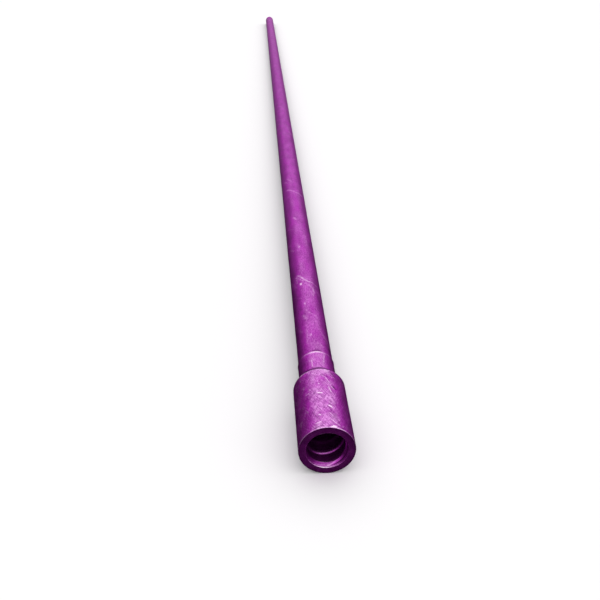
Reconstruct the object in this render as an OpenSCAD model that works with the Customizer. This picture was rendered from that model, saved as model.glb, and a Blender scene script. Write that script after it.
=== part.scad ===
// Male/female drill rod: a hollow round bar with a threaded socket welded to one end
// and a threaded pin welded to the other.
// The rod lies along +Y. The origin is on its axis, in the plane of the socket's mouth.

/* [Rod] */
// Length over all, from the mouth of the socket to the nose of the pin
rod_length = 4270; // [1200:10:6400]
// Diameter of the hollow bar
bar_d = 46; // [42:0.5:52]
// Diameter of the flushing hole, which runs through all three pieces
flush_d = 17; // [12:0.5:22]

/* [Thread] */
// Diameter over the crests of the pin's thread
thread_d = 46; // [43:0.5:50]
// Distance from one crest to the next
thread_pitch = 19; // [16:0.5:24]
// Depth of the groove in the pin
thread_depth = 2.2; // [1.5:0.1:2.5]
// Width of the groove's flat floor
groove_floor_w = 2; // [1:0.25:4]
// Angle between a flank and the axis
flank_angle = 35; // [30:1:50]
// Length of the thread on the pin
thread_l = 95; // [70:1:120]
// Gap between the pin's thread and the socket's thread, at crest and at root
thread_gap = 0.35; // [0.2:0.05:0.6]
// Gap between the two threads along the axis, at each flank
flank_gap = 0.25; // [0.1:0.05:0.5]

/* [Socket] */
// Outside diameter of the socket
socket_d = 65; // [60:0.5:76]
// Thickness of the floor between the socket and the neck
floor_t = 12; // [10:0.5:30]
// Space left in front of the mouth when a pin's nose sits on the floor
mouth_gap = 3; // [1:0.5:10]
// Depth of the plain entry. Behind it a cone leads in, through the front of the thread
entry_l = 1.2; // [0.8:0.1:4]
// Room around the pin's thread in the plain entry
entry_gap = 0.75; // [0.65:0.05:1.5]
// Angle between the lead-in cone and the axis
lead_angle = 30; // [20:1:45]
// Chamfer at the inner edge of the mouth
mouth_chamfer = 0.2; // [0.1:0.1:0.6]
// Bevel on the outer edge of the mouth
mouth_bevel = 0.5; // [0.3:0.1:2]
// Chamfer on the back edge of the socket
back_chamfer = 2; // [0.5:0.25:3]
// Plain run at the bottom of the socket, past the end of its thread
relief_l = 10; // [6:0.5:20]

/* [Neck] */
// Diameter of the neck behind the socket
neck_d = 47.5; // [46:0.25:53]
// Length of the neck, from the socket's shoulder to the weld
neck_l = 53; // [20:1:90]
// Fillet between the neck and the socket's shoulder
neck_fillet_r = 3; // [1:0.25:3.5]
// Length of the taper from the neck down to the bar
neck_taper_l = 1.2; // [0.5:0.1:4]

/* [Pin] */
// Length of plain stock between the weld and the pin's thread
pin_neck_l = 40; // [20:1:90]
// Diameter of the plain nose in front of the pin's thread
nose_d = 41; // [36:0.25:42]
// Length of the nose
nose_l = 7; // [5:0.5:15]
// Chamfer at the end of the nose
nose_chamfer = 1.5; // [0.5:0.1:2]
// Chamfer at the mouth of the flushing hole in the nose
flush_chamfer = 1; // [0.3:0.1:2]

/* [Hidden] */
$fn = 96;
// Flat pieces in one turn of a thread
thread_steps = 36;
// How far a cutting or a sunk shape reaches past the surface that it meets
reach = 1;
paint = "#8f2f90";

// The pin goes in until its nose sits on the socket's floor
socket_depth = thread_l + nose_l + mouth_gap;
socket_l = socket_depth + floor_t;
box_l = socket_l + neck_l;
pin_l = pin_neck_l + thread_l + nose_l;
bar_l = rod_length - box_l - pin_l;

// The socket's thread follows the pin's groove, with the gaps between them
crest_r = thread_d / 2;
groove_r = crest_r - thread_depth;
ridge_r = groove_r + thread_gap;
ridge_base_r = crest_r + thread_gap;
entry_r = crest_r + entry_gap;
// The cone's line in the half section: at the radius r, it lies cone_z(r) behind the mouth
function cone_z(r) = entry_l + (entry_r - r) / tan(lead_angle);
ridge_tip_w = groove_floor_w + 2 * (thread_gap / tan(flank_angle) - flank_gap);
thread_end = socket_depth - relief_l;
// How far the ridge's middle lies past the mouth, straight below the axis
ridge_below = 5.7;
// Part of a turn over which the pin's groove rises out of its neck
run_out = 0.5;

// Lays a shape that was built up along +Z down along +Y, its foot at the distance y from the mouth
module along_rod(y) {
    translate([0, y, 0]) rotate([-90, 0, 0]) children();
}

// Width of the thread's section at its base, which is wider than its tip by two flanks
function base_width(tip_w, height) = tip_w + 2 * height / tan(flank_angle);

// One ring of the thread's section: a trapezoid that narrows towards the axis
function section(r, tip_w, height, z, angle) =
    let (base_w = base_width(tip_w, height))
    [for (corner = [[r, -tip_w], [r, tip_w], [r + height, base_w], [r + height, -base_w]])
        [corner[0] * cos(angle), corner[0] * sin(angle), z + corner[1] / 2]];

// Left-hand helix of that section about +Z. It starts at z = 0 at the angle start,
// and over the last part of a turn, fade, it moves outwards by its own height.
module thread_helix(r, tip_w, height, turns, start, fade = 0) {
    steps = ceil(turns * thread_steps);
    rings = [for (i = [0 : steps])
        let (turn = i / thread_steps, left = (steps - i) / thread_steps)
        let (rise = left < fade ? height * (1 - left / fade) : 0)
        section(r + rise, tip_w, height, turn * thread_pitch, start - 360 * turn)];
    sides = [for (i = [0 : steps - 1], k = [0 : 3])
        let (next = (k + 1) % 4)
        each [[4 * i + k, 4 * i + next, 4 * i + 4 + next], [4 * i + k, 4 * i + 4 + next, 4 * i + 4 + k]]];
    ends = [[3, 2, 1, 0], [for (k = [0 : 3]) 4 * steps + k]];
    polyhedron([for (ring = rings) each ring], concat(sides, ends), convexity = 10);
}

// Half section of the socket, its shoulder and its neck, turned about +Z
module box_blank() {
    socket_r = socket_d / 2;
    neck_r = neck_d / 2;
    rotate_extrude() {
        difference() {
            union() {
                polygon([
                    [0, 0], [socket_r - mouth_bevel, 0], [socket_r, mouth_bevel],
                    [socket_r, socket_l - back_chamfer], [socket_r - back_chamfer, socket_l],
                    [0, socket_l]]);
                translate([0, socket_l]) square([neck_r + neck_fillet_r, neck_fillet_r]);
            }
            translate([neck_r + neck_fillet_r, socket_l + neck_fillet_r]) circle(r = neck_fillet_r);
        }
        polygon([
            [0, socket_l], [neck_r, socket_l], [neck_r, box_l - neck_taper_l],
            [bar_d / 2, box_l], [0, box_l]]);
    }
}

// The hollow of the socket without its thread: mouth chamfer, plain entry and threaded run
module socket_hollow() {
    rotate_extrude()
        polygon([
            [0, -reach], [entry_r + mouth_chamfer + reach, -reach], [entry_r, mouth_chamfer],
            [entry_r, entry_l], [ridge_base_r, cone_z(ridge_base_r)],
            [ridge_base_r, socket_depth], [0, socket_depth]]);
}

// The ridge of the socket's thread, sunk into the wall. The cone cuts its front, and a flat its back.
module socket_ridge() {
    height = ridge_base_r + reach - ridge_r;
    first = ridge_below - thread_pitch * 1.25;
    inner_r = ridge_r - reach;
    outer_r = ridge_base_r + reach / 2;
    intersection() {
        translate([0, 0, first])
            thread_helix(ridge_r, ridge_tip_w, height, (thread_end - first) / thread_pitch + 0.5, 180);
        rotate_extrude()
            polygon([
                [inner_r, cone_z(inner_r)], [ridge_base_r, cone_z(ridge_base_r)],
                [outer_r, cone_z(ridge_base_r)], [outer_r, thread_end], [inner_r, thread_end]]);
    }
}

module box_end() {
    color(paint) along_rod(0) {
        difference() {
            box_blank();
            socket_hollow();
            translate([0, 0, socket_depth - reach]) cylinder(d = flush_d, h = box_l - socket_depth + 2 * reach);
        }
        socket_ridge();
    }
}

module bar() {
    color(paint) along_rod(box_l)
        difference() {
            cylinder(d = bar_d, h = bar_l);
            translate([0, 0, -reach]) cylinder(d = flush_d, h = bar_l + 2 * reach);
        }
}

// The pin before its thread is cut: its neck, and the turned stock of thread and nose
module pin_blank() {
    nose_r = nose_d / 2;
    nose_z = pin_neck_l + thread_l;
    cylinder(d = bar_d, h = pin_neck_l);
    rotate_extrude()
        polygon([
            [0, pin_neck_l], [crest_r, pin_neck_l], [crest_r, nose_z - (crest_r - nose_r)],
            [nose_r, nose_z], [nose_r, pin_l - nose_chamfer], [nose_r - nose_chamfer, pin_l],
            [0, pin_l]]);
}

// The groove of the pin's thread. It starts clear of the stock, beside the nose, and runs back
// at full depth for the thread's length and half a groove more. Then it rises out of the neck.
module pin_groove() {
    height = thread_depth + reach;
    lead = base_width(groove_floor_w, height) / 2;
    turns = (thread_l + 2 * lead) / thread_pitch + run_out;
    translate([0, 0, pin_neck_l + thread_l + lead])
        rotate([180, 0, 0]) thread_helix(groove_r, groove_floor_w, height, turns, 0, run_out);
}

module pin_end() {
    flush_r = flush_d / 2;
    color(paint) along_rod(rod_length - pin_l)
        difference() {
            union() pin_blank();
            pin_groove();
            translate([0, 0, -reach]) cylinder(d = flush_d, h = pin_l + 2 * reach);
            translate([0, 0, pin_l - flush_chamfer])
                cylinder(r1 = flush_r, r2 = flush_r + flush_chamfer + reach, h = flush_chamfer + reach);
        }
}

box_end();
bar();
pin_end();
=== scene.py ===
"""Looks of a male/female drill rod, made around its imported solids.

The rod lies along +Y with the mouth of its socket at the origin, and +Z is up. Sizes are in millimetres
until a mesh is made of them, and every object is in metres.
"""

import math

import bpy
import numpy as np
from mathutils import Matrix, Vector


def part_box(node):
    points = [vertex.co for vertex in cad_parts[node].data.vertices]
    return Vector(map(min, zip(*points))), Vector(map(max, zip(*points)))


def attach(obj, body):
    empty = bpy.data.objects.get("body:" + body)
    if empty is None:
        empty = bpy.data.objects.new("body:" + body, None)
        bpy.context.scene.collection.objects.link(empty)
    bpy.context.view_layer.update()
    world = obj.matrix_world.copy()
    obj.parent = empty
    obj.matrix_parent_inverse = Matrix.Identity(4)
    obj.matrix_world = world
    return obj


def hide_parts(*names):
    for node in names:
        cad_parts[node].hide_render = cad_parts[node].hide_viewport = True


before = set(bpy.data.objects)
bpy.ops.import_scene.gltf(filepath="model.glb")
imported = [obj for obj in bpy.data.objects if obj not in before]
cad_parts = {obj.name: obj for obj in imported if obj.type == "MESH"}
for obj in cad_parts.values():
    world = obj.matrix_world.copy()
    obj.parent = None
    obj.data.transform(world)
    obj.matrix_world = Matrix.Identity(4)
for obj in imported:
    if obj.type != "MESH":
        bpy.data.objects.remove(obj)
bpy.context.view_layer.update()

# Viewpoint: someone stands at the socket's end and looks down along the rod. Lens and place follow from
# the point where the rod's sides would meet and from the width of the socket in the picture.
camera_data = bpy.data.cameras.new("viewpoint")
camera_data.lens = 42.0
camera_data.sensor_width = 36.0
camera = bpy.data.objects.new("viewpoint", camera_data)
bpy.context.scene.collection.objects.link(camera)
camera.location = (-0.0628, -0.6064, 0.5089)
camera.rotation_mode = "QUATERNION"
camera.rotation_quaternion = Vector((0.0475, 0.8838, -0.4655)).to_track_quat("-Z", "Y")
bpy.context.scene.camera = camera

# Socket end: the female end, forged from alloy steel and turned, with a coarse left-hand thread cut inside it
# and a short neck behind its shoulder. The neck is friction welded to the bar, and the whole rod is sprayed
# with thin purple lacquer.
MM = 0.001
rng = np.random.default_rng(46)


def reach_of(name):
    """Half the width of a CAD node and how far it reaches along the rod, in mm to a hundredth."""
    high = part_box(name)[1]
    return round(high.x / MM, 2), round(high.y / MM, 2)


socket_r, neck_end = reach_of("box_end")
bar_r, bar_end = reach_of("bar")
neck_r, hole_r, socket_length = 23.75, 8.5, 117.0
mouth_bevel, back_chamfer, neck_fillet, neck_taper = 0.5, 2.0, 3.0, 1.2
bore_r, bore_depth = 23.35, 105.0
lip_r, entry_r, entry_depth = 24.1, 23.75, 1.2
LEAD = math.tan(math.radians(30))
cone_end = entry_depth + (entry_r - bore_r) / LEAD


def half_section(corners):
    """Closed outline of a half section, as (radius, along) points in mm.
    A corner is (radius, along, rounding, step). It becomes an arc of that rounding that touches both of its
    sides, and the straight stretch that follows is cut into pieces no longer than step."""
    place = np.array([corner[:2] for corner in corners], float)
    heading = np.roll(place, -1, axis=0) - place
    heading /= np.linalg.norm(heading, axis=1)[:, None]
    arcs = []
    for i, (_, _, rounding, _) in enumerate(corners):
        came, goes = heading[i - 1], heading[i]
        turn = math.atan2(came[0] * goes[1] - came[1] * goes[0], came @ goes)
        side = math.copysign(1, turn) * np.array([-came[1], came[0]])
        start = place[i] - came * rounding * math.tan(abs(turn) / 2)
        swing = np.linspace(0, abs(turn), 6 if rounding else 1)[:, None]
        arcs.append(start + rounding * (np.sin(swing) * came + (1 - np.cos(swing)) * side))
    parts = []
    for i, arc in enumerate(arcs):
        ahead = arcs[(i + 1) % len(arcs)][0] - arc[-1]
        count = math.ceil(np.linalg.norm(ahead) / corners[i][3])
        parts += [arc, arc[-1] + np.arange(1, count)[:, None] / count * ahead]
    return np.concatenate(parts)


def round_axis(count):
    """Angles of that many columns, evenly spaced once round the axis from straight below it."""
    return (np.arange(count) / count - 0.25) * math.tau


def from_top(angle, radius):
    """Distance in mm of each angle from the top line, to the right, round a skin of that radius."""
    return radius * ((math.pi / 2 - angle + math.pi) % math.tau - math.pi)


def turned_skin(name, radius, along, angle, **marks):
    """Mesh of a turned piece. Row i, column j lies radius[i, j] from the Y axis, along[i] from the mouth and
    angle[j] about the axis. Rows and columns both close on themselves, so the skin has no open edge.
    Its UV map is the skin rolled out flat, in metres: round the axis at the widest radius, and along the
    rows as far as the half section's outline has gone. Marks are shares from 0 to 1 at each point, for
    the paint."""
    rows, columns = radius.shape
    level = np.broadcast_to(along[:, None], radius.shape)
    points = np.stack([radius * np.cos(angle), level, radius * np.sin(angle)], axis=-1) * MM
    here = np.arange(rows * columns).reshape(rows, columns)
    on = np.roll(here, -1, axis=0)
    faces = np.stack([here, on, np.roll(on, -1, axis=1), np.roll(here, -1, axis=1)], axis=-1).reshape(-1, 4)
    mesh = bpy.data.meshes.new(name)
    mesh.vertices.add(rows * columns)
    mesh.vertices.foreach_set("co", points.ravel())
    mesh.loops.add(faces.size)
    mesh.loops.foreach_set("vertex_index", faces.ravel())
    mesh.polygons.add(len(faces))
    mesh.polygons.foreach_set("loop_start", np.arange(0, faces.size, 4))
    mesh.polygons.foreach_set("use_smooth", np.ones(len(faces), bool))
    mesh.update(calc_edges=True)
    sides = np.append(angle, angle[0] + math.tau) * radius.max()
    sides = np.stack([sides[:-1], sides[:-1], sides[1:], sides[1:]], axis=-1)
    middle = radius.mean(axis=1)
    steps = np.hypot(np.diff(middle, append=middle[0]), np.diff(along, append=along[0]))
    ahead = along[0] + np.append(0, np.cumsum(steps))
    ahead = np.stack([ahead[:-1], ahead[1:], ahead[1:], ahead[:-1]], axis=-1)[:, None]
    unrolled = np.stack(np.broadcast_arrays(sides, ahead), axis=-1) * MM
    mesh.uv_layers.new(name="unrolled").data.foreach_set("uv", unrolled.ravel())
    for mark, share in marks.items():
        values = np.broadcast_to(share, radius.shape).astype(np.float32)
        mesh.attributes.new(mark, "FLOAT", "POINT").data.foreach_set("value", np.clip(values, 0, 1).ravel())
    piece = bpy.data.objects.new(name, mesh)
    bpy.context.scene.collection.objects.link(piece)
    return piece


def stroke(across, along, girth, start, end, width):
    """1 on the straight line from start to end on the unrolled skin, each (across, along) in mm, and less to
    both sides of it as a bell curve of that width. Across is measured from the top line, to the right."""
    reach = np.subtract(end, start)
    a = (across - start[0] + girth / 2) % girth - girth / 2
    b = along - start[1]
    share = np.clip((a * reach[0] + b * reach[1]) / max(reach @ reach, 1e-9), 0, 1)
    return np.exp(-((a - share * reach[0]) ** 2 + (b - share * reach[1]) ** 2) / width**2)


def with_strokes(share, across, along, girth, strokes):
    """The share, raised to at least the strength of each stroke where it runs. A stroke is its start and its
    end, both (across, along), its width in mm and its strength."""
    for start, end, width, strength in strokes:
        share = np.maximum(share, strength * stroke(across, along, girth, start, end, width))
    return share


def unevenness(angle, along, shortest, waves=24):
    """Random gentle waves, mostly from -1 to 1: a sum of cosines that each run a whole number of times round
    the axis and have a random length along it, the shortest in mm."""
    total = np.zeros(np.broadcast_shapes(angle.shape, along.shape))
    for _ in range(waves):
        turns = rng.integers(0, 9)
        slope = rng.uniform(-1, 1) * math.tau / shortest
        total = total + np.cos(turns * angle + slope * along + rng.uniform(0, math.tau))
    return total / math.sqrt(waves)


def bell(value, middle, width):
    """1 at the middle, falling to both sides as a bell curve of that width."""
    return np.exp(-(((value - middle) / width) ** 2))


def between(value, low, high, fade):
    """1 between low and high, falling to 0 in a straight line over the width fade at each end."""
    return np.clip((value - low) / fade + 0.5, 0, 1) * np.clip((high - value) / fade + 0.5, 0, 1)


section = half_section([
    (socket_r - mouth_bevel, 0.0, 0.2, 0.4),
    (socket_r, mouth_bevel, 0.3, 0.8),
    (socket_r, socket_length - back_chamfer, 1.2, 0.6),
    (socket_r - back_chamfer, socket_length, 0.8, 0.9),
    (neck_r, socket_length, neck_fillet, 0.95),
    (neck_r, neck_end - neck_taper, 0.3, 0.4),
    (bar_r, neck_end, 0.0, 3.0),
    (hole_r, neck_end, 0.0, 8.0),
    (hole_r, bore_depth, 0.4, 2.0),
    (bore_r, bore_depth, 0.8, 1.3),
    (bore_r, 30.0, 0.0, 0.66),
    (bore_r, 9.0, 0.0, 0.35),
    (bore_r, cone_end, 0.0, 0.3),
    (entry_r, entry_depth, 0.5, 0.3),
    (lip_r, 0.0, 1.0, 0.45),
])
profile_r, along = section[:, 0], section[:, 1]
level = along[:, None]
angle = round_axis(240)
across = from_top(angle, socket_r)
girth = math.tau * socket_r
outside = (profile_r > bar_r - 0.1) & ((profile_r > lip_r) | (along > bore_depth + 1)) & (along > 0.01)
outside = outside[:, None]

# The thread stands on the bore's wall: its height falls off down both flanks from a flat crest, rounded above
# and below. The lead-in cone cuts away what stands in front of it. Straight below the axis, the middle of
# the ridge lies ridge_below behind the mouth.
PITCH, FLANK = 19.0, math.tan(math.radians(35))
thread_depth, thread_end = 2.2, 95.0
ridge_width, ridge_below = 8.78, 5.7
ridge_middle = ridge_below + PITCH * (angle / math.tau + 0.25)
from_middle = np.abs((level - ridge_middle + PITCH / 2) % PITCH - PITCH / 2)
threaded = ((np.abs(profile_r - bore_r) < 0.01) & (along < thread_end))[:, None]
flank = np.clip((ridge_width / 2 - from_middle) * FLANK / thread_depth, 0, 1)
ridge = np.where(threaded, thread_depth * flank**2 * (3 - 2 * flank), 0)
cone_r = entry_r - (level - entry_depth) * LEAD
cut_back = np.where(threaded, np.clip(cone_r - (bore_r - ridge), 0, ridge), 0)

# The forged skin is uneven by a few hundredths, and the weld leaves a low bead on the neck's taper
skin = profile_r[:, None] - ridge + cut_back + np.where(outside, 0.05 * unevenness(angle, level, 40), 0)
bead = bell(level, neck_end - 1.6, 0.9) * outside
skin = skin + bead * (0.3 + 0.1 * unevenness(angle, level, 8))

# Wear with painted sheen, and dirt with painted shade, are shares from 0 to 1. A pale band along the top is a
# painted sheen, with pale nicks and rubs on it, and with scratches that have filled with dirt. Each nick, rub
# and scratch is a stroke on the unrolled skin.
pale_nicks = [
    ((-6.0, 65.5), (-1.0, 64.5), 0.9, 1.0),
    ((5.0, 40.5), (8.5, 37.0), 0.9, 1.0),
    ((-3.5, 84.5), (-3.5, 83.5), 1.0, 0.75),
    ((-7.5, 24.5), (-6.0, 23.0), 1.1, 0.7),
    ((-3.0, 23.5), (-2.5, 23.0), 1.0, 0.5),
    ((-11.5, 10.0), (-6.5, 11.0), 1.5, 0.6),
    ((2.5, 114.0), (14.5, 99.0), 0.8, 0.4),
    ((5.5, 114.0), (11.0, 112.0), 1.1, 0.65),
    ((7.0, 115.0), (19.0, 99.5), 0.8, 0.4),
    ((-2.0, 110.5), (9.5, 88.0), 0.8, 0.35),
    ((1.0, 101.5), (7.5, 94.5), 0.8, 0.55),
    ((7.0, 93.5), (10.0, 84.0), 0.9, 0.5),
    ((11.5, 79.5), (14.0, 75.5), 0.9, 0.65),
    ((8.0, 77.5), (10.0, 68.5), 1.4, 0.6),
    ((4.5, 60.0), (11.5, 44.5), 0.9, 0.4),
    ((9.5, 51.5), (13.0, 46.0), 0.9, 0.45),
    ((5.5, 48.0), (8.5, 44.0), 1.0, 0.5),
    ((8.5, 30.0), (15.5, 15.0), 0.8, 0.35),
    ((5.0, 26.5), (11.5, 15.5), 1.0, 0.55),
    ((5.5, 14.5), (10.5, 8.5), 1.1, 0.6),
    ((10.5, 8.5), (14.5, 6.5), 1.1, 0.5),
    ((-15.5, 75.5), (-15.0, 75.0), 1.2, 0.5),
    ((-10.5, 75.0), (-7.0, 74.5), 1.3, 0.45),
    ((-20.0, 68.5), (-15.5, 70.0), 1.0, 0.35),
    ((-10.0, 108.0), (-9.5, 107.5), 1.2, 0.55),
    ((-5.5, 90.5), (-5.0, 89.5), 1.1, 0.4),
    ((-8.5, 31.0), (-6.5, 33.5), 0.9, 0.45),
    ((-5.0, 34.5), (-3.5, 31.5), 0.9, 0.45),
    ((-11.0, 41.5), (-9.0, 38.0), 1.7, 0.4),
    ((4.0, 1.0), (10.0, 1.5), 1.0, 1.0),
    ((7.0, 3.0), (8.0, 3.0), 1.2, 1.0),
]
dirty_scratches = [
    ((13.5, 80.5), (17.0, 76.5), 1.0, 0.8),
    ((3.5, 103.5), (9.5, 97.5), 0.8, 0.5),
    ((13.5, 110.0), (18.0, 103.0), 1.0, 0.65),
    ((17.0, 110.0), (24.5, 113.0), 1.1, 0.6),
    ((5.5, 43.5), (8.5, 41.5), 0.8, 0.6),
    ((3.5, 37.5), (7.5, 36.0), 0.8, 0.55),
    ((6.0, 33.5), (12.0, 23.0), 0.8, 0.5),
    ((6.0, 29.5), (14.0, 10.0), 0.8, 0.4),
    ((-15.0, 32.0), (-9.5, 18.0), 0.8, 0.4),
    ((-23.5, 77.0), (-20.0, 77.0), 0.8, 0.35),
    ((-23.0, 66.0), (-17.5, 67.0), 0.8, 0.35),
    ((-14.0, 3.0), (-10.0, 3.0), 0.7, 0.5),
    ((-9.5, 4.0), (-4.0, 3.0), 0.7, 0.45),
    ((1.5, 2.5), (5.5, 4.5), 0.7, 0.4),
    ((12.0, 4.0), (17.5, 2.5), 0.7, 0.5),
]
# Painted sheen: the top is paler where the light shines on it
wear = 0.3 * between(across, -14.5, 15, 9) * (0.8 + 0.3 * unevenness(angle, level, 14))
wear = with_strokes(wear, across, level, girth, pale_nicks)
soil = with_strokes(np.zeros_like(skin), across, level, girth, dirty_scratches)
wear = wear * (1 - 0.8 * soil)
# Faint scratches all round, in two directions
for _ in range(60):
    start = np.array([rng.uniform(-girth / 2, girth / 2), rng.uniform(4, socket_length)])
    lean = math.radians(rng.choice([62, 118]) + rng.normal(0, 12))
    end = start + rng.uniform(1, 13) * np.array([math.cos(lean), math.sin(lean)])
    strength = rng.uniform(0.1, 0.35)
    wear = with_strokes(wear, across, level, girth, [(start, end, rng.uniform(0.7, 1.1), strength)])

# Edges are rubbed by handling, above all the top of the mouth, which has a bright chip
ragged = unevenness(angle, level, 5, 40)
rim = bell(level, 0.4, 0.6) * (profile_r > socket_r - 0.6)[:, None]
rim_rub = rim * np.clip(0.3 + 0.2 * ragged + 0.35 * bell(across, 5, 16), 0, 1)
chip = 0.8 * bell(level, 2.5, 1.8) * bell(across, 8, 4) * np.clip(0.5 + 0.5 * ragged, 0, 1)
back_edge = bell(level, socket_length - 2.4, 1.5) * (profile_r > neck_r + neck_fillet + 1.25)[:, None]
back_rub = back_edge * np.clip(0.45 + 0.3 * ragged, 0, 0.8)
# The weld bead is rubbed, and brighter along the top with a painted highlight
weld = bell(level, neck_end - 1.8, 1.1) * outside
weld_rub_and_highlight = weld * (0.2 + 0.85 * bell(across, -1, 15)) * np.clip(0.9 + 0.3 * ragged, 0, 1)
for rub_and_highlight in (rim_rub, chip, back_rub, weld_rub_and_highlight):
    wear = np.maximum(wear, rub_and_highlight)
neck_scratches = [
    ((-7.5, 151.0), (-7.0, 136.0), 0.8, 0.55),
    ((-11.0, 150.5), (-5.0, 150.0), 0.9, 0.4),
    ((11.0, 168.0), (8.0, 146.0), 1.8, 0.4),
]
neck_across, neck_girth = across * neck_r / socket_r, math.tau * neck_r
scratched = with_strokes(wear, neck_across, level, neck_girth, neck_scratches)
wear = np.where(level > socket_length + 4, scratched, wear)
wear = np.where(outside, wear, 0)

# In the mouth, the lower lip, the edge that the lead-in cone leaves on the ridge and the front of its first
# turns get painted highlights, brightest at the bottom, where light falls in through the mouth
lit_bottom = bell((angle + math.pi / 2 + math.pi) % math.tau - math.pi, -0.15, 0.6)
lip = (level < entry_depth + 0.4) * ((profile_r < lip_r + 0.5) & (profile_r > bore_r + 0.25))[:, None]
cone_edge = np.where(threaded, bell(cone_r - (bore_r - ridge), 0, 0.25), 0)
second_turn = ridge_middle % PITCH + PITCH
front = np.where(threaded & (level < second_turn), bell(flank, 0.6, 0.3), 0)
for rub_and_highlight in (lip * (0.02 + 0.66 * lit_bottom), cone_edge * (0.05 + 0.55 * lit_bottom), 0.28 * front * lit_bottom):
    wear = np.maximum(wear, rub_and_highlight)

# Painted shade darkens the bore, more of it deeper in and away from the lit bottom, the turned end face
# towards its outer edge, with rings of turning marks in it, and a band on the neck behind the shoulder
bore_shade = np.clip(level / 45 - 0.3 * ridge / thread_depth, 0, 0.5) * (level > cone_end + 0.1)
bore_shade = bore_shade + 0.4 * (1 - lit_bottom) * np.clip(level / 12, 0, 1)
bore_shade = bore_shade + 0.25 * (cut_back > 0) * (1 - cone_edge)
soil = np.where(outside, soil, np.where(level > 0.3, np.clip(bore_shade, 0, 0.6), 0))
# Painted shade on the end face, darker towards its outer edge; the rings are turning marks
ring_gap, unshaded_r = 2.2, 26.5
mouth_face = ((along < 0.02) & (profile_r > lip_r))[:, None]
rings = 0.09 * np.cos(profile_r[:, None] * math.tau / ring_gap)
face_shade_and_rings = (profile_r[:, None] - unshaded_r) / 18 + 0.08 * ragged + rings
soil = np.maximum(soil, mouth_face * np.clip(face_shade_and_rings, 0, 1))
# Painted shade: a dark band on the neck just behind the shoulder
shade_end = 133.2
shoulder_shade = np.clip((shade_end + 0.7 * ragged - level) / 2.2, 0, 1) * (level > socket_length - 0.1)
shoulder_shade = shoulder_shade * (profile_r < socket_r - back_chamfer - 1.5)[:, None] * outside
soil = np.maximum(soil, 0.7 * shoulder_shade)
turned = np.where(outside, 0.4 * np.clip((level - socket_length - 1) / 4, 0, 1), 1.0)
socket_end = turned_skin("socket_end", skin, along, angle, wear=wear, soil=soil, turned=turned)


def linear(colour):
    """Linear RGBA of an sRGB hex colour, by the inverse of the sRGB curve."""
    share = np.array([int(colour[i:i + 2], 16) for i in (1, 3, 5)]) / 255
    return (*np.where(share > 0.04045, ((share + 0.055) / 1.055) ** 2.4, share / 12.92), 1.0)


def node(tree, kind, sockets=None, output=0, **settings):
    """Adds a shader node with its settings and returns one of its outputs. Sockets gives an input, by its
    name or number, a value or another node's output. By number, Math has its terms in order, MapRange 0 the
    value, 1 and 2 the range it comes from, 3 and 4 the range it goes to, and Mix 0 the share, 6 and 7 the
    two colours."""
    made = tree.nodes.new("ShaderNode" + kind)
    for key, value in settings.items():
        setattr(made, key, value)
    for key, value in (sockets or {}).items():
        if isinstance(value, bpy.types.NodeSocket):
            tree.links.new(value, made.inputs[key])
        else:
            made.inputs[key].default_value = value
    return made.outputs[output]


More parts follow.
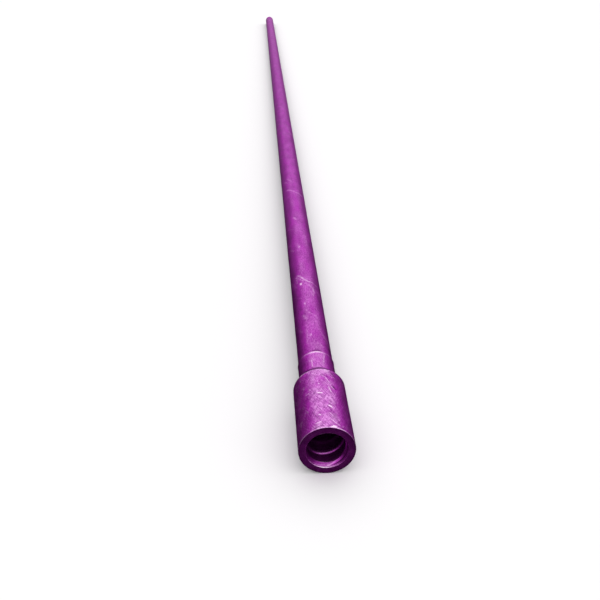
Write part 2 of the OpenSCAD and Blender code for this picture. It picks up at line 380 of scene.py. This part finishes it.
def lacquer(name, grit, mottle, speckle, hatched):
    """Purple lacquer sprayed thinly on steel, which shines through it: a coloured metal with a dull shine
    that follows the grit of the steel. Handling has rubbed it pale in places, and a pale sheen and highlights
    are painted on where light falls. Pale and dark scratches are drawn across each other, edges are nearly
    bare, and dirt and painted shade darken it. Grit and mottle are the sizes of its grain and of its patches,
    across and along in mm, speckle and hatched the strengths of the grain and of the scratches. The real
    scratches are finer: they are drawn 1.3 mm wide so that they show."""
    paint = bpy.data.materials.new(name)
    paint.use_nodes = True
    tree = paint.node_tree
    shader = tree.nodes["Principled BSDF"]
    unrolled = node(tree, "UVMap", uv_map="unrolled")
    wear = node(tree, "Attribute", output="Fac", attribute_name="wear")
    soil = node(tree, "Attribute", output="Fac", attribute_name="soil")
    turned = node(tree, "Attribute", output="Fac", attribute_name="turned")

    # Patches and grain
    size = {"Vector": unrolled, "Scale": (*np.multiply(mottle, MM), 1)}
    patches = node(tree, "Mapping", size, vector_type="TEXTURE")
    patches = node(tree, "TexNoise", {"Vector": patches, "Scale": 1.0, "Detail": 6.0, "Roughness": 0.65})
    patches = node(tree, "MapRange", {0: patches, 1: 0.28, 2: 0.72})
    size = {"Vector": unrolled, "Scale": (*np.multiply(grit, MM), 1)}
    grain = node(tree, "Mapping", size, vector_type="TEXTURE")
    grain = node(tree, "TexNoise", {"Vector": grain, "Scale": 1.0, "Detail": 3.0, "Roughness": 0.7})
    # Pale where worn, and where a sheen or highlight is painted on
    sheen_and_haze = node(tree, "Math", {0: wear, 1: 1.1}, operation="MULTIPLY", use_clamp=True)
    flecks = {0: wear, 1: 2.5 * speckle, 2: 0.12 * speckle}
    flecks = node(tree, "Math", flecks, operation="MULTIPLY_ADD", use_clamp=True)
    flecks = node(tree, "MapRange", {0: grain, 1: 0.5, 2: 0.66, 4: flecks})
    pits = node(tree, "MapRange", {0: grain, 1: 0.48, 2: 0.34, 4: speckle})

    # Scratches in two directions, pale above 0 and dark below it, fewer of them on a turned surface
    scratches = 0.0
    for lean in (-28, 28):
        size = {"Vector": unrolled, "Rotation": (0, 0, math.radians(lean)), "Scale": (1.3 * MM, 12 * MM, 1)}
        drawn = node(tree, "Mapping", size, vector_type="TEXTURE")
        drawn = node(tree, "TexNoise", {"Vector": drawn, "Scale": 1.0, "Detail": 1.0})
        drawn = node(tree, "MapRange", {0: drawn, 1: 0.25, 2: 0.75, 3: -1.0, 4: 1.0})
        scratches = node(tree, "Math", {0: drawn, 1: scratches}, operation="ADD")
    rough_share = node(tree, "MapRange", {0: turned, 3: hatched, 4: 0.0})
    shown = node(tree, "Math", {0: wear, 1: 2.2, 2: 0.35}, operation="MULTIPLY_ADD", use_clamp=True)
    shown = node(tree, "Math", {0: shown, 1: rough_share}, operation="MULTIPLY")
    pale = node(tree, "MapRange", {0: scratches, 1: 0.15, 2: 0.8, 4: shown})
    dark = node(tree, "MapRange", {0: scratches, 1: -0.15, 2: -0.8, 4: shown})

    # Nearly bare places, with an edge that the grain breaks up
    broken = node(tree, "Math", {0: grain, 1: 0.5}, operation="SUBTRACT")
    broken = node(tree, "Math", {0: broken, 1: wear}, operation="ADD")
    broken = node(tree, "Math", {0: broken, 1: wear}, operation="MULTIPLY", use_clamp=True)
    rubbed = node(tree, "MapRange", {0: broken, 1: 0.02, 2: 0.8}, interpolation_type="SMOOTHSTEP")

    # Colour, one layer over another
    colour = linear("#8c168d")
    for share, tone in [
        (patches, "#c23ac2"),
        (sheen_and_haze, "#f0b4f0"),
        (flecks, "#f0b4f0"),
        (pits, "#5c105f"),
        (pale, "#efaef0"),
        (dark, "#6a1a70"),
        (rubbed, "#fbe3fa"),
        (soil, "#2c0830"),
    ]:
        colour = node(tree, "Mix", {0: share, 6: colour, 7: linear(tone)}, 2, data_type="RGBA")

    # Shine and relief: a turned surface is smoother
    rough = node(tree, "MapRange", {0: patches, 3: 0.32, 4: 0.4})
    rough = node(tree, "Math", {0: turned, 1: -0.14, 2: rough}, operation="MULTIPLY_ADD")
    height = node(tree, "Math", {0: patches, 1: 0.5, 2: grain}, operation="MULTIPLY_ADD")
    rugged = node(tree, "MapRange", {0: turned, 3: 0.85, 4: 0.25})
    relief = node(tree, "Bump", {"Strength": rugged, "Distance": 0.25 * MM, "Height": height})
    for key, value in {"Base Color": colour, "Roughness": rough, "Normal": relief}.items():
        tree.links.new(value, shader.inputs[key])
    shader.inputs["Metallic"].default_value = 0.8
    shader.inputs["Coat Weight"].default_value = 0.02
    shader.inputs["Coat Roughness"].default_value = 0.35
    shader.inputs["Specular Tint"].default_value = linear("#a01ca2")
    return paint


socket_end.data.materials.append(lacquer("lacquered_forging", (1.7, 2.9), (10, 18), 0.44, 0.5))
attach(socket_end, "root")
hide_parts("box_end")

# Bar: hot-rolled hollow drill steel, sawn to length and friction welded between the two ends. Its skin keeps
# the scale and the shallow spiral marks of rolling and straightening, which show through the lacquer.
bar_length = bar_end - neck_end
# Rows lie closer together near the socket, where they are seen from close by
outer = neck_end + np.concatenate([
    np.arange(0, 500, 1.4),
    np.arange(500, 1400, 3.2),
    np.arange(1400, bar_length, 7.5),
    [bar_length],
])
inner = np.linspace(bar_end, neck_end, 60)
along = np.concatenate([outer, inner])
profile_r = np.concatenate([np.full(len(outer), bar_r), np.full(len(inner), hole_r)])
level = along[:, None]
angle = round_axis(88)
across = from_top(angle, bar_r)
girth = math.tau * bar_r
outside = (profile_r > hole_r)[:, None]

# Rolling leaves shallow waves, which run out before the welds
ends = np.clip(np.minimum(level - neck_end, bar_end - level) / 8, 0, 1)
waves = 0.05 * unevenness(angle, level, 60) + 0.05 * unevenness(angle, level, 400)
skin = profile_r[:, None] + np.where(outside, ends * waves, 0)

# A pale band along the top is a painted sheen, and strokes lie on it: a bent streak and a curl before it,
# specks, and rubs
bent_streak = [
    ((-13.0, 406.5), (-8.0, 398.0), 1.9, 0.5),
    ((-8.0, 398.0), (-3.0, 386.0), 1.9, 0.65),
    ((-3.0, 386.0), (2.5, 379.0), 1.7, 0.7),
    ((2.5, 379.0), (8.0, 377.0), 1.5, 0.7),
    ((8.0, 377.0), (17.0, 371.0), 1.4, 0.45),
    ((-16.5, 402.5), (-5.0, 381.0), 1.9, 0.35),
    ((-16.0, 394.5), (-15.0, 381.0), 1.6, 0.25),
]
curl = [
    ((-1.5, 373.5), (4.0, 365.5), 1.7, 0.4),
    ((4.0, 365.5), (9.0, 356.5), 2.0, 0.5),
    ((9.0, 356.5), (10.0, 344.5), 2.0, 0.5),
    ((10.0, 344.5), (8.0, 331.0), 1.7, 0.4),
    ((3.0, 347.0), (5.5, 343.0), 1.5, 0.4),
    ((5.5, 343.0), (7.0, 333.0), 1.5, 0.4),
]
specks = [
    ((8.0, 189.5), (11.0, 185.5), 1.4, 0.45),
    ((-4.0, 216.0), (-4.0, 213.0), 1.5, 0.55),
    ((-7.0, 308.5), (-7.0, 305.0), 1.3, 0.65),
    ((-9.0, 375.5), (-9.0, 370.5), 1.5, 1.0),
    ((-4.0, 520.0), (-4.0, 513.0), 2.0, 0.55),
    ((-6.5, 658.0), (-3.0, 647.5), 3.0, 0.45),
]
rubs = [
    ((-8.5, 231.0), (-9.5, 195.0), 1.8, 0.26),
    ((9.0, 254.5), (11.5, 226.0), 1.8, 0.22),
    ((-10.5, 272.0), (-6.5, 260.5), 2.6, 0.33),
    ((-6.5, 287.5), (-0.5, 275.0), 2.2, 0.28),
    ((-0.5, 275.0), (5.5, 270.5), 2.2, 0.28),
    ((5.5, 270.5), (10.0, 263.5), 1.8, 0.35),
    ((-10.0, 534.0), (-5.0, 524.5), 2.2, 0.25),
    ((9.0, 574.5), (10.5, 526.5), 2.2, 0.35),
    ((-13.0, 828.5), (0.5, 809.0), 3.0, 0.45),
    ((0.5, 809.0), (17.0, 797.0), 3.0, 0.5),
    ((-10.0, 901.5), (-1.5, 873.0), 3.0, 0.35),
    ((-4.0, 1040.5), (13.0, 1057.0), 3.0, 0.3),
    ((9.0, 1321.0), (16.0, 1296.0), 3.0, 0.4),
    ((-8.5, 1634.5), (1.0, 1612.5), 3.5, 0.35),
]
# Painted sheen: the top is paler where the light shines on it
wear = 0.19 * between(across, -9.5, 12.5, 7) * (0.85 + 0.25 * unevenness(angle, level, 60))
wear = with_strokes(wear, across, level, girth, bent_streak + curl + specks + rubs)
# Faint scratches all round, most of them near the socket
nearest, farthest = neck_end + 20, bar_end - 38
for _ in range(150):
    sideways = rng.uniform(-girth / 2, girth / 2)
    start = np.array([sideways, nearest + (farthest - nearest) * rng.uniform() ** 1.3])
    length = rng.uniform(8, 60)
    lean = math.radians(rng.normal(124, 8))
    end = start + length * np.array([math.cos(lean), math.sin(lean)])
    strength = rng.uniform(0.08, 0.25)
    wear = with_strokes(wear, across, level, girth, [(start, end, rng.uniform(1.2, 2.4), strength)])
# The weld is rubbed, and brighter along the top with a painted highlight. A dark line runs behind it along
# the top, and a thin film of dirt lies on the near end
wear = np.maximum(wear, bell(level, neck_end + 0.6, 1.3) * (0.15 + 0.6 * bell(across, -1, 11)))
soil = 0.08 * np.clip(1 - (level - neck_end) / 700, 0, 1) * np.ones_like(skin)
soil = np.maximum(soil, 0.8 * bell(level, neck_end + 3.6, 1.7) * bell(across, 0.5, 7))
wear = np.where(outside, wear * (1 - 0.8 * soil), 0)
# Painted shade: the bore inside is dark
soil = np.where(outside, soil, 0.8)
turned = np.zeros_like(skin)
hollow_bar = turned_skin("hollow_bar", skin, along, angle, wear=wear, soil=soil, turned=turned)
hollow_bar.data.materials.append(lacquer("lacquered_rolled_bar", (1.6, 5), (14, 50), 0.55, 0.15))
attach(hollow_bar, "root")
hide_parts("bar")

# Pin: the male end, turned from alloy steel with wide flat crests and a narrow left-hand groove, a plain nose
# and a flushing hole. Its neck is friction welded to the far end of the bar.
rod_end = reach_of("pin_end")[1]
nose_r, nose_length = 20.5, 7.0
nose_start = rod_end - nose_length
nose_chamfer, hole_chamfer = 1.5, 1.0
crest_end = nose_start - (bar_r - nose_r)
section = half_section([
    (bar_r, bar_end, 0.0, 0.8),
    (bar_r, crest_end, 0.4, 0.6),
    (nose_r, nose_start, 0.4, 0.7),
    (nose_r, rod_end - nose_chamfer, 0.4, 0.5),
    (nose_r - nose_chamfer, rod_end, 0.4, 0.9),
    (hole_r + hole_chamfer, rod_end, 0.2, 0.4),
    (hole_r, rod_end - hole_chamfer, 0.2, 8.0),
    (hole_r, bar_end, 0.0, 3.0),
])
profile_r, along = section[:, 0], section[:, 1]
level = along[:, None]
angle = round_axis(240)
across = from_top(angle, bar_r)
girth = math.tau * bar_r
outside = (profile_r > nose_r - nose_chamfer - 0.1) & (along < rod_end - 0.01) & (along > bar_end)
outside = outside[:, None]

# The groove runs back from the nose, one turn after another, and rises out of the neck over its last half
# turn. Its floor is flat for half_floor to both sides of its middle, and its flanks rise from there.
groove_lead, groove_turns, groove_rise = 5.57, 6.086, 3.2
groove_start = nose_start + groove_lead
groove_r, half_floor = bar_r - thread_depth, 1.0
clear_r = 99.0
cut = np.full((len(along), len(angle)), clear_r)
for turn in range(8):
    wound = turn - angle / math.tau
    from_middle = np.abs(level - (groove_start - PITCH * wound))
    rise = groove_rise * np.clip(1 - (groove_turns - wound) / 0.5, 0, 1)
    floor_r = np.where(wound > groove_turns, clear_r, groove_r + rise)
    cut = np.minimum(cut, floor_r + np.maximum(from_middle - half_floor, 0) * FLANK)
blank = np.broadcast_to(profile_r[:, None], cut.shape)
skin = np.where(outside, np.minimum(blank, cut), blank)
depth = blank - skin

# The edges of the crests, the nose and the weld are rubbed. Painted shade darkens the groove, the more the
# deeper it is, and the bore, and the nose is darker
ragged = unevenness(angle, level, 6, 40)
wear = bell(cut - blank, 0.35, 0.5) * outside * np.clip(0.26 + 0.3 * ragged, 0, 1)
for edge in (crest_end, rod_end - nose_chamfer):
    wear = np.maximum(wear, bell(level, edge, 0.8) * outside * np.clip(0.4 + 0.4 * ragged, 0, 1))
weld = bell(level, bar_end + 1.2, 1.0) * outside
wear = np.maximum(wear, weld * np.clip(0.4 + 0.4 * ragged, 0, 0.8))
skin = skin + weld * (0.25 + 0.08 * ragged)
for _ in range(60):
    start = np.array([rng.uniform(-girth / 2, girth / 2), rng.uniform(bar_end + 4, nose_start)])
    lean = math.radians(rng.choice([35, 140]) + rng.normal(0, 14))
    end = start + rng.uniform(1, 9) * np.array([math.cos(lean), math.sin(lean)])
    strength = rng.uniform(0.12, 0.45) * (depth < 0.3)
    wear = with_strokes(wear, across, level, girth, [(start, end, rng.uniform(0.5, 0.8), strength)])
wear = np.where(outside, wear, 0)
# Painted shade in the groove, by its depth, and in the bore; the nose is darker
soil = np.where(outside, 0.55 * np.clip(depth / thread_depth, 0, 1), 0.5)
soil = np.maximum(soil, 0.35 * (level > nose_start - 1))
turned = np.ones_like(skin)
threaded_pin = turned_skin("threaded_pin", skin, along, angle, wear=wear, soil=soil, turned=turned)
threaded_pin.data.materials.append(lacquer("lacquered_turning", (1.9, 3.2), (8, 12), 0.6, 0.5))
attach(threaded_pin, "root")
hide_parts("pin_end")

# Floor: a plain pale studio floor under the rod. It rises by a hair towards the pin, so that it meets the
# socket's back edge and the slimmer pin alike. It throws no light back up, so the lower sides stay dark.
floor_reach = 60000.0
touch = socket_length - back_chamfer
slope = (socket_r - bar_r) / (crest_end - touch)
plan = np.array([[-1, -1], [1, -1], [1, 1], [-1, 1]]) * floor_reach
corners = np.column_stack([plan, slope * (plan[:, 1] - touch) - socket_r]) * MM
floor_mesh = bpy.data.meshes.new("studio_floor")
floor_mesh.from_pydata(corners.tolist(), [], [(0, 1, 2, 3)])
floor = bpy.data.objects.new("studio_floor", floor_mesh)
bpy.context.scene.collection.objects.link(floor)
floor_paint = bpy.data.materials.new("pale_matt_floor")
floor_paint.use_nodes = True
shader = floor_paint.node_tree.nodes["Principled BSDF"]
shader.inputs["Base Color"].default_value = linear("#f4f3f4")
shader.inputs["Roughness"].default_value = 0.9
floor_mesh.materials.append(floor_paint)
floor.visible_diffuse = False
floor.visible_glossy = False

# Backdrop: a white sheet that stands far off, all round the floor. Only the camera sees it, so it takes no
# light away from the rod. Its sizes are in metres.
panels, far, foot, top = 64, 50.0, -1.0, 60.0
turn = np.arange(panels) / panels * math.tau
ring = np.column_stack([far * np.cos(turn), far * np.sin(turn), np.zeros(panels)])
here = np.arange(panels)
on = np.roll(here, -1)
walls = np.column_stack([here, here + panels, on + panels, on])
sheet = bpy.data.meshes.new("white_backdrop")
sheet.from_pydata(np.concatenate([ring + (0, 0, foot), ring + (0, 0, top)]).tolist(), [], walls.tolist())
backdrop = bpy.data.objects.new("white_backdrop", sheet)
bpy.context.scene.collection.objects.link(backdrop)
white_sheet = bpy.data.materials.new("lit_white_sheet")
white_sheet.use_nodes = True
white_sheet.cycles.emission_sampling = "NONE"
shader = white_sheet.node_tree.nodes["Principled BSDF"]
shader.inputs["Emission Color"].default_value = linear("#f4f3f4")
shader.inputs["Emission Strength"].default_value = 1.0
sheet.materials.append(white_sheet)
backdrop.visible_diffuse = False
backdrop.visible_glossy = False
backdrop.visible_transmission = False
backdrop.visible_shadow = False

# Light: a long white vault over the rod, from end to end, that leans a little to the right, and dark walls to
# both sides of it.
vault = bpy.data.worlds.new("white_vault")
vault.use_nodes = True
bpy.context.scene.world = vault
tree = vault.node_tree
direction = node(tree, "TexCoord", output="Generated")
direction = node(tree, "Mapping", {"Vector": direction, "Rotation": (0, math.radians(-7), 0)})
sideways = node(tree, "SeparateXYZ", {0: direction}, "X")
sideways = node(tree, "Math", {0: sideways}, operation="ABSOLUTE")
upwards = node(tree, "SeparateXYZ", {0: direction}, "Z")
upwards = node(tree, "Math", {0: sideways, 1: -0.6, 2: upwards}, operation="MULTIPLY_ADD")
above = node(tree, "MapRange", {0: upwards, 1: -0.55, 2: 0.3})
glow = node(tree, "Mix", {0: above, 6: linear("#141414"), 7: linear("#ffffff")}, 2, data_type="RGBA")
background = tree.nodes["Background"]
tree.links.new(glow, background.inputs["Color"])
background.inputs["Strength"].default_value = 1.29
bpy.context.scene.view_settings.view_transform = "Standard"
